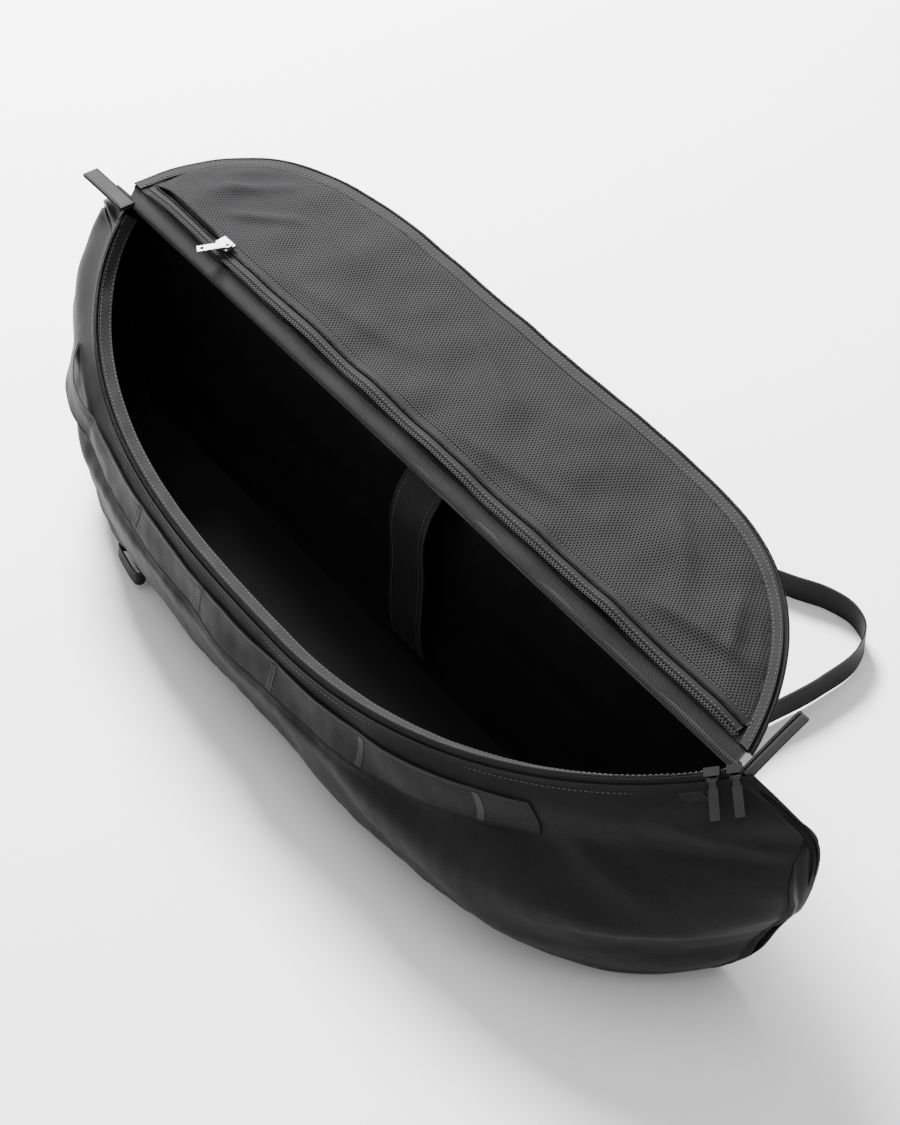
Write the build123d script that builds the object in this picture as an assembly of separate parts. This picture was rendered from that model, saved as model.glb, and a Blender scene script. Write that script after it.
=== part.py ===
from build123d import *
from math import radians, sin, cos, hypot, pi
import os

os.makedirs("parts", exist_ok=True)

# ---------------------------------------------------------------- driving sizes, mm
HINGE_LINE_Y = 75.0  # where the zip ends meet the back wall
RIM_Z = 214.0  # height of the zip line at its ends
RIM_TILT = radians(27.0)  # the mouth slopes down to the front
RIM_HALF = 376.0  # half the mouth's length
ARC_X = 38.0  # the right part of the mouth is one circular arc about this x
ARC_R = 430.2
ARC_DROP = 266.3  # the arc's centre lies this far behind the hinge line, in the mouth plane
MOUTH_DEPTH = ARC_R - ARC_DROP
LEFT_POWERS = (3.0, 0.64)  # the left part is a fuller power curve
WALL = 2.4
GAP = 0.9  # between a panel and its lining
LINING = 0.8
BASE_T = 2.8
BACK_CLEAR = 4.2  # the side gussets stop this far inside the back face
COIL_R, COIL_INSET = 1.5, 1.3
ARC_END = radians(38.6)  # right end of the zip on its arc
WEB_T = 1.4
TACK_X, TACK_PITCH, TACK_COUNT, TACK_W = -252.0, 96.0, 6, 3.0
STRAP_W, STRAP_T = 25.0, 1.6
BOARD_STRAP_W, BOARD_STRAP_X = 43.0, 15.0

AXIS_Y, AXIS_Z = 70.0, 218.0  # line the lid turns about
LID_ANGLE = radians(6.0)  # the open lid lies back, this far above level
LID_NEAR, LID_FAR = 13.0, 155.0  # from the axis to the lid's two long edges
LID_X0, LID_LEFT, LID_RIGHT = 60.0, 452.0, 316.0
LID_LEFT_POWERS, LID_RIGHT_POWERS = (6.0, 0.45), (4.0, 0.9)
LID_OUTER, LID_T = -5.0, 2.4  # outer face and thickness, along the lid's inward normal
POCKET_TOP = 3.0  # the mesh stands off the lid's lining by this level
SLIT = (22.5, 28.0)  # open mouth of the mesh pocket, from the axis
ZIP_START_X, ZIP_END_X = -362.0, 338.0
POCKET_SLIDER_X = -268.0

# ---------------------------------------------------------------- body levels, low to high
# level: left end, right end, back y, front y, height at the back, height at the front, powers
LOW_LEVELS = [
    (-374.0, 368.0, 74.6, -47.5, 3.05, 3.05, 4.0, 0.80),
    (-398.0, 394.0, 81.0, -61.0, 30.0, 22.0, 4.0, 0.80),
    (-418.0, 412.0, 87.0, -74.0, 75.0, 52.0, 4.0, 0.80),
    (-431.0, 431.0, 91.0, -79.0, 130.0, 84.0, 3.6, 0.76),
]
# mouth levels: drop under the zip line, end flare, front flare
WEB_LEVEL, FACING_LEVEL, TOP_LEVEL = (37.0, 54.0, 25.6), (14.0, 34.0, 9.4), (7.0, 8.0, 3.5)
TAPE_LEVEL, COIL_LEVEL = (2.2, 2.0, 1.0), (0.0, 0.0, 0.0)
ALL_LEVELS = LOW_LEVELS + [WEB_LEVEL, FACING_LEVEL, TOP_LEVEL]
SEAM = [0.90, 0.90, 0.90, 0.905, 0.925, 0.94, 0.95]  # end-gusset seam, as a share of the half
SAMPLES = (0.0, 0.25, 0.45, 0.62, 0.76, 0.86, 0.93, 0.975, 1.0)


def power(t, p, k):
    return max(0.0, 1 - t**p) ** k


def rim_depth(x):
    """How far the zip line lies from the hinge line, in the mouth plane."""
    if x >= ARC_X:
        return (ARC_R**2 - (x - ARC_X) ** 2) ** 0.5 - ARC_DROP
    return MOUTH_DEPTH * power((ARC_X - x) / (ARC_X + RIM_HALF), *LEFT_POWERS)


def outline(level, s, off=0.0):
    """A point of the bag's plan outline. s runs from -1, the left back corner, to 1."""
    side, t = (-1, -s) if s < 0 else (1, s)
    if len(level) == 3:
        drop, flare_x, flare_v = level
        x = ARC_X + side * (RIM_HALF - side * ARC_X) * t
        v = off + (MOUTH_DEPTH + flare_v - 2 * off) * rim_depth(x) / MOUTH_DEPTH
        y = HINGE_LINE_Y - v * cos(RIM_TILT) + drop * sin(RIM_TILT)
        z = RIM_Z - v * sin(RIM_TILT) - drop * cos(RIM_TILT)
        return Vector(x * (RIM_HALF + flare_x - off) / RIM_HALF, y, z)
    left, right, back, front, z_back, z_front, p, k = level
    reach = ARC_X - left - off if side < 0 else right - ARC_X - off
    y = back - off - (back - front - 2 * off) * power(t, p, k)
    return Vector(ARC_X + side * reach * t, y, z_back + (y - back) * (z_back - z_front) / (back - front))


def mouth_point(x, v, rise=0.0):
    """A point from its place in the mouth plane; rise is along the plane's normal."""
    y = HINGE_LINE_Y - v * cos(RIM_TILT) - rise * sin(RIM_TILT)
    return Vector(x, y, RIM_Z - v * sin(RIM_TILT) + rise * cos(RIM_TILT))


def arc_place(turn, out=0.0, rise=0.0):
    """A point by its angle on the mouth's arc, out from the coil and above it."""
    radius = ARC_R - COIL_INSET + out
    return mouth_point(ARC_X + radius * cos(turn), radius * sin(turn) - ARC_DROP, rise)


def shares(low, high):
    """Sample places along the outline between two shares of it."""
    every = [-t for t in SAMPLES[:0:-1]] + list(SAMPLES)
    return [low] + [s for s in every if low + 0.01 < s < high - 0.01] + [high]


def strip_wire(level, low, high, off_out, off_in):
    """One level's cut through a sewn panel."""
    places = shares(low, high)
    outer = [outline(level, s, off_out) for s in places]
    inner = [outline(level, s, off_in) for s in places]
    edges = [Edge.make_spline(outer), Edge.make_line(outer[-1], inner[-1])]
    edges += [Edge.make_spline(inner[::-1]), Edge.make_line(inner[0], outer[0])]
    return Wire(edges)


def panel(levels, lows, highs, off_out, off_in):
    wires = [strip_wire(v, a, b, off_out, off_in) for v, a, b in zip(levels, lows, highs)]
    return Solid.make_loft(wires, ruled=True)


def back_slab(levels, off_out, off_in, ends):
    wires = []
    for level in levels:
        a, b = outline(level, -1, off_out), outline(level, 1, off_out)
        c, d = outline(level, 1, off_in), outline(level, -1, off_in)
        shift = Vector(ends, 0, 0)
        corners = [a + shift, b - shift, Vector(b.X, c.Y, c.Z) - shift, Vector(a.X, d.Y, d.Z) + shift]
        wires.append(Wire.make_polygon(corners, close=True))
    return Solid.make_loft(wires, ruled=True)


def save(name, *shapes):
    solids = [s for shape in shapes for s in shape.solids()]
    export_step(solids[0] if len(solids) == 1 else Compound(solids), f"parts/{name}.step")


def coil(points):
    path = Wire([Edge.make_spline(points)])
    start = Plane(origin=path @ 0, z_dir=path % 0)
    return sweep(start * Circle(COIL_R), path=path)


def ribbon(points, thickness):
    """A flat strap seen on edge, as a face in the XY plane."""
    sides = [[], []]
    for i, p in enumerate(points):
        a, b = points[max(i - 1, 0)], points[min(i + 1, len(points) - 1)]
        length = hypot(b[0] - a[0], b[1] - a[1])
        n = ((a[1] - b[1]) / length, (b[0] - a[0]) / length)
        for side, share in zip(sides, (0.5, -0.5)):
            side.append((p[0] + n[0] * thickness * share, p[1] + n[1] * thickness * share))
    first, second = Edge.make_spline(sides[0]), Edge.make_spline(sides[1])
    caps = [Edge.make_line(sides[0][-1], sides[1][-1]), Edge.make_line(sides[1][0], sides[0][0])]
    return Face(Wire([first, caps[0], second, caps[1]]))


def block(x, y, z):
    """A box from three low-high pairs."""
    size = [b - a for a, b in (x, y, z)]
    return Pos(*[(a + b) / 2 for a, b in (x, y, z)]) * Box(*size)


# ---------------------------------------------------------------- body panels
base_points = [outline(LOW_LEVELS[0], s, 1.5) for s in shares(-1, 1)]
flat_points = [(p.X, p.Y) for p in base_points]
base_wire = Wire([Edge.make_spline(flat_points), Edge.make_line(flat_points[-1], flat_points[0])])
save("base_panel", extrude(Face(base_wire), BASE_T, dir=(0, 0, 1)))
save("front_panel", panel(ALL_LEVELS, [-s for s in SEAM], SEAM, 0, WALL))


def end_panel(side):
    """A smooth gusset from the seam round to the back wall."""
    wires = []
    for level, low in zip(ALL_LEVELS, SEAM):
        stop = outline(level, side, BACK_CLEAR).Y
        rows = []
        for off in (0.0, WALL):
            run = [outline(level, side * (low + 0.002 + (1 - low) * i / 8), off) for i in range(5)]
            last = outline(level, side, off)
            slope = (last.Z - run[0].Z) / (last.Y - run[0].Y)
            rows.append(run + [Vector(last.X, stop, last.Z + (stop - last.Y) * slope)])
        outer, inner = rows
        edges = [Edge.make_spline(outer), Edge.make_line(outer[-1], inner[-1])]
        edges += [Edge.make_spline(inner[::-1]), Edge.make_line(inner[0], outer[0])]
        wires.append(Wire(edges))
    return Solid.make_loft(wires, ruled=True)


save("left_end_panel", end_panel(-1))
save("right_end_panel", end_panel(1))
save("back_panel", back_slab(ALL_LEVELS, 0, WALL, 0))
skin = WALL + GAP
low_lining = LOW_LEVELS + [WEB_LEVEL, FACING_LEVEL]
ends = [0.985] * len(low_lining)
save("front_lining", panel(low_lining, [-s for s in ends], ends, skin, skin + LINING))
save("back_lining", back_slab(low_lining, skin, skin + LINING, skin + LINING + 4))
top = [(13.6, 32.6, 9.0), TOP_LEVEL, TAPE_LEVEL]
ends = [0.975] * 3
save("rim_facing", panel(top, [-s for s in ends], ends, skin, skin + LINING))
tape_levels = [(6.8, 7.8, 3.4), TAPE_LEVEL]
save("body_zip_tape", panel(tape_levels, [-s for s in ends], ends, 0.9, 1.7))
left_run = [outline(COIL_LEVEL, s, COIL_INSET) for s in shares(-0.985, -0.04)]
turns = [ARC_END + (pi / 2 - ARC_END) * i / 12 for i in range(12, -1, -1)]
right_run = [arc_place(a) for a in turns]
save("body_zip_coil", coil(left_run + right_run))
save("back_top_binding", block((-364, 364), (74.6, 79.2), (208.1, 210.7)))

# ---------------------------------------------------------------- webbing and tabs on the body
WEB_SPAN = (-0.79, 0.62)
WEB_LEVELS = [(36.6, 53.5, 25.4), (14.4, 34.4, 9.6)]
out = -0.35
save("daisy_chain_webbing", panel(WEB_LEVELS, [WEB_SPAN[0]] * 2, [WEB_SPAN[1]] * 2, out - WEB_T, out))
tack_levels = [(35.0, 52.0, 24.3), (16.0, 35.6, 10.6)]
tacks = []
for i in range(TACK_COUNT):
    x = TACK_X + i * TACK_PITCH
    reach = ARC_X + RIM_HALF if x < ARC_X else RIM_HALF - ARC_X
    a, b = (x - ARC_X) / reach / 1.1, (x + TACK_W - ARC_X) / reach / 1.1
    tacks.append(panel(tack_levels, [a] * 2, [b] * 2, out - WEB_T - 1.1, out - WEB_T - 0.45))
save("bar_tacks", *tacks)


def loop_profile(depth, height, thickness):
    """A folded webbing loop seen from its side: a long ring."""
    outer = SlotOverall(height, depth)
    inner = SlotOverall(height - 2 * thickness, depth - 2 * thickness)
    return outer - inner


LOOP_W, LOOP_LEAN = 12.0, -10.4  # the loop lies along the foot of the front wall
side_ring = extrude(loop_profile(9.5, 42.0, WEB_T), LOOP_W, dir=(0, 0, 1))
save("side_loop", Pos(-203, -54.2, 9) * Rot(0, 0, LOOP_LEAN) * side_ring)
save("zip_end_tab_left", block((-434, -386), (60, 73), (208.2, 211.4)))
tab = Rot(33, 0, 0) * block((-1.6, 1.6), (0, 46), (-6.5, 6.5))
save("zip_end_tab_right", Pos(377, 80.6, 214) * tab)
garage_levels = [(13.0, 31.6, 9.0), (7.6, 11.6, 4.6)]
GARAGE_OUT = 1.4  # clear of the wall cloth and of its seam
save("zip_garage", panel(garage_levels, [0.89] * 2, [0.925] * 2, out - GARAGE_OUT - 1.0, out - GARAGE_OUT))

# ---------------------------------------------------------------- straps
CARRY_PATH = [(236, 84), (229, 160), (223, 240), (225, 300), (219, 344), (203, 366), (182, 373)]
CARRY_PATH += [(158, 369), (132, 356), (40, 318), (-80, 262), (-178, 186), (-226, 120), (-238, 84)]
save("shoulder_strap", Pos(0, 0, 0.5) * extrude(ribbon(CARRY_PATH, STRAP_T), STRAP_W, dir=(0, 0, 1)))
BOARD_PATH = [(77.5, 192), (74, 186), (68, 178), (65, 166), (65, 110), (65, 40), (67, 26), (72.4, 14)]
board_face = ribbon(BOARD_PATH, WEB_T)
board = Rot(0, 0, 90) * (Rot(90, 0, 0) * extrude(board_face, BOARD_STRAP_W, dir=(0, 0, 1)))
save("board_strap", Pos(BOARD_STRAP_X - BOARD_STRAP_W / 2, 0, 0) * board)

# ---------------------------------------------------------------- lid, drawn flat in its own plane
lid_plane = Plane(
    origin=(0, AXIS_Y, AXIS_Z), x_dir=(1, 0, 0), z_dir=(0, -sin(LID_ANGLE), cos(LID_ANGLE))
)


def lid_point(s, inset):
    side, t = (-1, -s) if s < 0 else (1, s)
    reach = (LID_LEFT if side < 0 else LID_RIGHT) - inset
    powers = LID_LEFT_POWERS if side < 0 else LID_RIGHT_POWERS
    r = (LID_FAR - inset) * power(t, *powers)
    return (LID_X0 + side * reach * t, r)


def lid_places(near, inset):
    """Outline samples whose distance from the axis is past the lid's near edge."""
    every = [-t for t in SAMPLES[:0:-1]] + list(SAMPLES)
    inner = [s for s in every if lid_point(s, inset)[1] > near + 6]
    found = []
    for side in (-1, 1):
        low, high = 0.5, 1.0
        for _ in range(40):
            middle = (low + high) / 2
            if lid_point(side * middle, inset)[1] > near:
                low = middle
            else:
                high = middle
        found.append(side * low)
    return [found[0]] + [s for s in inner if found[0] + 0.004 < s < found[1] - 0.004] + [found[1]]


def lid_face(near, inset):
    points = [lid_point(s, inset) for s in lid_places(near, inset)]
    return Face(Wire([Edge.make_spline(points), Edge.make_line(points[-1], points[0])]))


def lid_sheet(face, low, high):
    return lid_plane * (Pos(0, 0, low) * extrude(face, high - low, dir=(0, 0, 1)))


def lid_band(near, inset_out, inset_in, low, high):
    """A strip along the lid's curved edge, open along the hinge."""
    outer = [lid_point(s, inset_out) for s in lid_places(near, inset_out)]
    inner = [lid_point(s, inset_in) for s in lid_places(near, inset_in)]
    edges = [Edge.make_spline(outer), Edge.make_line(outer[-1], inner[-1])]
    edges += [Edge.make_spline(inner[::-1]), Edge.make_line(inner[0], outer[0])]
    return lid_sheet(Face(Wire(edges)), low, high)


def lid_block(x, r, w):
    return lid_plane * block(x, r, w)


inner_face = LID_OUTER + LID_T
save("lid_panel", lid_sheet(lid_face(LID_NEAR, 4.2), LID_OUTER, inner_face))
save("lid_lining", lid_sheet(lid_face(LID_NEAR, 5.0), inner_face + 0.2, inner_face + 0.7))
save("lid_zip_tape", lid_band(LID_NEAR + 1, 3.15, 4.0, LID_OUTER + 0.4, LID_OUTER + 1.2))
coil_points = [lid_point(s, 1.4) for s in lid_places(LID_NEAR + 1, 1.4)]
coil_points = [(lid_plane * Pos(x, r, LID_OUTER + 0.8)).position for x, r in coil_points]
save("lid_zip_coil", coil(coil_points))
save("lid_binding", lid_band(LID_NEAR, 4.6, 11.6, inner_face + 0.9, inner_face + 1.7))
save("hinge_binding", lid_block((-366, 362), (5.0, 12.6), (LID_OUTER, LID_OUTER + 1.6)))


MESH_NEAR, MESH_INSET, MESH_T = 31.4, 13.0, 0.8
MESH_SLOPE = 40.0  # the mesh climbs from the lid to its full stand-off over this run
MESH_HEM = 1.0
CUT = 30.0  # the hollow runs this far past the mesh's near edge


def lid_slab(low, low_near, low_inset, high, high_near, high_inset):
    """A flat-topped pad with sloping edges, drawn between two lid outlines."""
    wires = []
    for level, near, inset in ((low, low_near, low_inset), (high, high_near, high_inset)):
        wires.append((lid_plane * (Pos(0, 0, level) * lid_face(near, inset))).outer_wire())
    return Solid.make_loft(wires, ruled=True)


foot = inner_face + GAP
mesh_top = POCKET_TOP + MESH_T
mesh_edge = MESH_INSET + MESH_HEM
mesh_out = lid_slab(foot, MESH_NEAR, MESH_INSET, mesh_top, MESH_NEAR, MESH_INSET + MESH_SLOPE)
mesh_in = lid_slab(
    foot - MESH_HEM, MESH_NEAR - CUT, mesh_edge, POCKET_TOP, MESH_NEAR - CUT, mesh_edge + MESH_SLOPE
)
save("mesh_pocket_panel", mesh_out - mesh_in)

# ---------------------------------------------------------------- pocket zip, on the lid
TOP_W = (POCKET_TOP, POCKET_TOP + MESH_T)
lower_top = lid_block((ZIP_START_X, ZIP_END_X), (13.3, 17.4), TOP_W)
lower_join = lid_block((ZIP_START_X, ZIP_END_X), (13.3, 14.1), (foot, TOP_W[1]))
save("mesh_lower_strip", lower_top + lower_join)
save("pocket_tape_lower", lid_block((ZIP_START_X, ZIP_END_X), (17.6, SLIT[0]), TOP_W))
upper = lid_block((ZIP_START_X, ZIP_END_X), (SLIT[0] + 2.9, 31.2), TOP_W)
mouth = lid_block((ZIP_START_X - 1, POCKET_SLIDER_X - 6), (SLIT[0], SLIT[1]), (0, 9))
save("pocket_tape_upper", upper - mouth)
POCKET_COIL_R, ZIP_R = 1.2, SLIT[0] + 1.45
teeth = Plane.YZ * Circle(POCKET_COIL_R)
run = extrude(teeth, ZIP_END_X - POCKET_SLIDER_X - 8, dir=(1, 0, 0))
save("pocket_zip_coil", lid_plane * (Pos(POCKET_SLIDER_X + 7, ZIP_R, POCKET_TOP + 0.4) * run))

SLIDER_LOW, SLIDER_HIGH, POST_R, RUNNING = 4.9, 7.2, 1.5, 0.06
slider = block((-7.5, 7.5), (-4.6, 4.6), (SLIDER_LOW, SLIDER_HIGH))
slider = slider + Pos(3.0, 0, SLIDER_HIGH) * Cylinder(POST_R, 2.6, align=(Align.CENTER, Align.CENTER, Align.MIN))
save("pocket_slider", lid_plane * (Pos(POCKET_SLIDER_X, ZIP_R, 0) * slider))
PULLER_LEN, PULLER_TURN = 24.0, -118.0
puller = Cylinder(4.0, 1.2) + block((0, PULLER_LEN), (-3.2, 3.2), (-0.6, 0.6))
puller = puller - Cylinder(POST_R + RUNNING, 3) - Pos(PULLER_LEN - 4, 0, 0) * Cylinder(1.6, 3)
puller = Rot(0, 0, PULLER_TURN) * puller
save("pocket_puller", lid_plane * (Pos(POCKET_SLIDER_X + 3, ZIP_R, SLIDER_HIGH + 1.0) * puller))

# ---------------------------------------------------------------- the two main sliders
A_TURN, B_TURN = radians(41.4), radians(39.3)
PIN_OUT, PIN_RISE, PIN_R = 5.4, -0.1, 0.8
PULL_DROP = 12.0  # the pulls rest this many degrees below the mouth plane


def slider_plane(turn):
    """Local x along the zip, y outwards, z along the mouth's normal."""
    here, out = arc_place(turn), arc_place(turn, 1.0) - arc_place(turn)
    up = arc_place(turn, 0.0, 1.0) - here
    return Plane(origin=here, x_dir=out.cross(up), z_dir=up)


def main_slider():
    cap = block((-5.5, 5.5), (-3.0, 3.4), (1.75, 2.4))
    outer = block((-5.5, 5.5), (1.8, 3.4), (-2.2, 1.8))
    lip = block((-5.5, 5.5), (-3.0, -1.8), (-1.0, 1.8))
    ears = block((-3.9, -2.9), (3.3, 6.6), (-1.3, 1.3)) + block((2.9, 3.9), (3.3, 6.6), (-1.3, 1.3))
    pin = Pos(0, PIN_OUT, PIN_RISE) * Rot(0, 90, 0) * Cylinder(PIN_R, 7.0)
    return cap + outer + lip + ears + pin


def main_pull():
    eye = Rot(0, 90, 0) * Cylinder(1.5, 5.2)
    blade = block((-2.4, 2.4), (0, 8), (-0.6, 0.6)) + block((-3.4, 3.4), (6, 27), (-0.6, 0.6))
    hole = Rot(0, 90, 0) * Cylinder(PIN_R + RUNNING, 9)
    turned = Rot(-PULL_DROP, 0, 0) * (eye + blade - hole)
    return Pos(0, PIN_OUT, PIN_RISE) * turned


for name, turn in (("a", A_TURN), ("b", B_TURN)):
    save(f"main_slider_{name}", slider_plane(turn) * main_slider())
    save(f"main_pull_{name}", slider_plane(turn) * main_pull())
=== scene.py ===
from math import cos, pi, radians, sin

import bpy
import numpy as np
from mathutils import Matrix, Vector


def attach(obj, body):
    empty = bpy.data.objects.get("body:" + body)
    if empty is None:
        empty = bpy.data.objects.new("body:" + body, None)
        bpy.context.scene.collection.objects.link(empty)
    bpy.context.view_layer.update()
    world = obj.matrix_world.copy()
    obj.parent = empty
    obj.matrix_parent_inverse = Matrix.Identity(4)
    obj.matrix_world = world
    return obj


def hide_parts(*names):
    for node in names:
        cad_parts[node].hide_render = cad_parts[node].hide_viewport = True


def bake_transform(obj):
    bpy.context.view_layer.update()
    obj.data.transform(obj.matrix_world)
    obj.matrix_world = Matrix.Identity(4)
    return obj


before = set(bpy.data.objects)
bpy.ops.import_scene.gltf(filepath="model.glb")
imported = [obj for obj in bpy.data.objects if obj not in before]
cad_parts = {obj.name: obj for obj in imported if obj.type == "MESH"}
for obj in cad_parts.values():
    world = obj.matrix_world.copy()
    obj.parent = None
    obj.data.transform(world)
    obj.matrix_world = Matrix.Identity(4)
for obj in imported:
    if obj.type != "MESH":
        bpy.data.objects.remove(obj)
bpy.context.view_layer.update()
MM = 0.001

# ------------------------------------------------------------ sizes in mm, as in the CAD
HINGE_Y, RIM_Z, TILT, RIM_HALF = 75.0, 214.0, radians(27.0), 376.0
ARC_X, ARC_R, ARC_DROP = 38.0, 430.2, 266.3
DEPTH = ARC_R - ARC_DROP
AXIS_Y, AXIS_Z, LID_ANGLE = 70.0, 218.0, radians(6.0)
LID_FAR, LID_X0, LID_LEFT, LID_RIGHT = 155.0, 60.0, 452.0, 316.0
LOW = [
    (-366.0, 360.0, 72.0, -38.0, 0.4, 0.4, 4.0, 0.80),
    (-378.0, 372.0, 75.5, -50.0, 4.0, 4.0, 4.0, 0.80),
    (-398.0, 394.0, 81.0, -62.0, 30.0, 22.0, 4.0, 0.80),
    (-418.0, 412.0, 87.0, -74.0, 75.0, 52.0, 4.0, 0.80),
    (-431.0, 431.0, 91.0, -79.0, 130.0, 84.0, 3.6, 0.76),
]
MOUTH = [(37.0, 54.0, 25.6), (14.0, 34.0, 9.4), (7.0, 8.0, 3.5), (4.0, 4.0, 2.0)]
LEVELS = LOW + MOUTH
HEIGHTS = np.array([0.0, 0.05, 0.17, 0.38, 0.60, 0.78, 0.91, 0.97, 1.0])


def power(t, p, k):
    return np.maximum(0.0, 1 - np.abs(t) ** p) ** k


def rim_depth(x):
    arc = np.sqrt(np.maximum(ARC_R**2 - (x - ARC_X) ** 2, 0)) - ARC_DROP
    left = DEPTH * power((ARC_X - x) / (ARC_X + RIM_HALF), 3.0, 0.64)
    return np.where(x >= ARC_X, arc, left)


def outline(level, s):
    """Points of one level's outline for shares s of it, from -1 to 1."""
    s = np.asarray(s, float)
    side = np.where(s < 0, -1.0, 1.0)
    if len(level) == 3:
        drop, flare_x, flare_v = level
        x = ARC_X + side * (RIM_HALF - side * ARC_X) * np.abs(s)
        v = (DEPTH + flare_v) * rim_depth(x) / DEPTH
        y = HINGE_Y - v * cos(TILT) + drop * sin(TILT)
        z = RIM_Z - v * sin(TILT) - drop * cos(TILT)
        return np.stack([x * (RIM_HALF + flare_x) / RIM_HALF, y, z], -1)
    left, right, back, front, z_back, z_front, p, k = level
    reach = np.where(s < 0, ARC_X - left, right - ARC_X)
    y = back - (back - front) * power(s, p, k)
    z = z_back + (y - back) * (z_back - z_front) / (back - front)
    return np.stack([ARC_X + side * reach * np.abs(s), y, z], -1)


def hermite(xs, pts, x):
    """A smooth curve through pts (first axis) at xs, sampled at x."""
    slopes = np.gradient(pts, xs, axis=0)
    i = np.clip(np.searchsorted(xs, x) - 1, 0, len(xs) - 2)
    h = (xs[i + 1] - xs[i]).reshape(-1, *[1] * (pts.ndim - 1))
    t = ((x - xs[i]).reshape(h.shape)) / h
    a, b, ma, mb = pts[i], pts[i + 1], slopes[i], slopes[i + 1]
    return (
        (2 * t**3 - 3 * t**2 + 1) * a
        + (t**3 - 2 * t**2 + t) * h * ma
        + (-2 * t**3 + 3 * t**2) * b
        + (t**3 - t**2) * h * mb
    )


def wall(s, h):
    """The bag's outside surface: shares s round the front, heights h from floor to mouth."""
    rows = np.stack([outline(level, s) for level in LEVELS])
    return hermite(HEIGHTS, rows, np.asarray(h, float)).transpose(1, 0, 2)


def normals(pts):
    du, dv = np.gradient(pts, axis=0), np.gradient(pts, axis=1)
    n = np.cross(du, dv)
    return n / np.maximum(np.linalg.norm(n, axis=2, keepdims=True), 1e-9)


def wobble(u, v, scale, seed, count=7):
    """Soft smooth noise made of a few sines."""
    r = np.random.default_rng(seed)
    out = np.zeros(np.broadcast(u, v).shape)
    for _ in range(count):
        a, f, p = r.uniform(0, 2 * pi), r.uniform(0.5, 1.6) / scale, r.uniform(0, 2 * pi)
        out = out + np.sin(2 * pi * f * (u * cos(a) + v * sin(a)) + p)
    return out / count**0.5


def arc_lengths(pts, axis):
    step = np.linalg.norm(np.diff(pts, axis=axis), axis=2)
    total = np.cumsum(step, axis=axis)
    pad = [(0, 0), (0, 0)]
    pad[axis] = (1, 0)
    return np.pad(total, pad)


# ------------------------------------------------------------ mesh building
def new_object(name, verts, faces, material, body="bag", uvs=None, smooth=True, nodes=(), slot=None):
    mesh = bpy.data.meshes.new(name)
    mesh.from_pydata([tuple(v) for v in np.asarray(verts) * MM], [], [tuple(f) for f in faces])
    mesh.update()
    if uvs is not None:
        layer = mesh.uv_layers.new(name="UVMap")
        loops = np.empty(len(mesh.loops), dtype=np.int64)
        mesh.loops.foreach_get("vertex_index", loops)
        layer.data.foreach_set("uv", np.asarray(uvs, float)[loops].ravel() * MM)
    mesh.polygons.foreach_set("use_smooth", [smooth] * len(mesh.polygons))
    ob = bpy.data.objects.new(name, mesh)
    bpy.context.scene.collection.objects.link(ob)
    mesh.materials.append(material)
    if nodes:
        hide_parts(*nodes)
    if body:
        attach(ob, body)
    return ob


def quads(nu, nv, start=0, flip=False):
    i, j = np.meshgrid(np.arange(nu - 1), np.arange(nv - 1), indexing="ij")
    a = start + i * nv + j
    f = np.stack([a, a + nv, a + nv + 1, a + 1], -1).reshape(-1, 4)
    return f[:, ::-1] if flip else f


def sheet_mesh(pts, thick, inward=1.0):
    """A closed thin wall from a grid: the grid, its offset copy and the edges between."""
    nu, nv = pts.shape[:2]
    n = normals(pts) * inward
    verts = np.concatenate([pts.reshape(-1, 3), (pts - n * thick).reshape(-1, 3)])
    k = nu * nv
    faces = [quads(nu, nv, 0, inward < 0), quads(nu, nv, k, inward > 0)]
    ring = [i * nv for i in range(nu)] + [(nu - 1) * nv + j for j in range(1, nv)]
    ring += [i * nv + nv - 1 for i in range(nu - 2, -1, -1)] + [j for j in range(nv - 2, 0, -1)]
    ring = np.array(ring)
    nxt = np.roll(ring, -1)
    side = np.stack([ring, ring + k, nxt + k, nxt], -1)
    faces.append(side if inward < 0 else side[:, ::-1])
    u, v = arc_lengths(pts, 0), arc_lengths(pts, 1)
    uv = np.stack([u, v], -1).reshape(-1, 2)
    return verts, np.concatenate(faces), np.concatenate([uv, uv])


def cloth(name, pts, thick, material, inward=1.0, **kw):
    verts, faces, uvs = sheet_mesh(pts, thick, inward)
    return new_object(name, verts, faces, material, uvs=uvs, **kw)


def frames(path):
    """Tangent, side and up along a path, turned as little as possible."""
    t = np.gradient(path, axis=0)
    t /= np.linalg.norm(t, axis=1, keepdims=True)
    up = np.tile([0.0, 0.0, 1.0], (len(path), 1))
    side = np.cross(t, up)
    side /= np.maximum(np.linalg.norm(side, axis=1, keepdims=True), 1e-9)
    return t, side, np.cross(side, t)


def resample(path, step):
    seg = np.linalg.norm(np.diff(path, axis=0), axis=1)
    d = np.concatenate([[0], np.cumsum(seg)])
    n = max(2, int(round(d[-1] / step)) + 1)
    at = np.linspace(0, d[-1], n)
    return np.stack([np.interp(at, d, path[:, k]) for k in range(3)], -1), at


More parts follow.
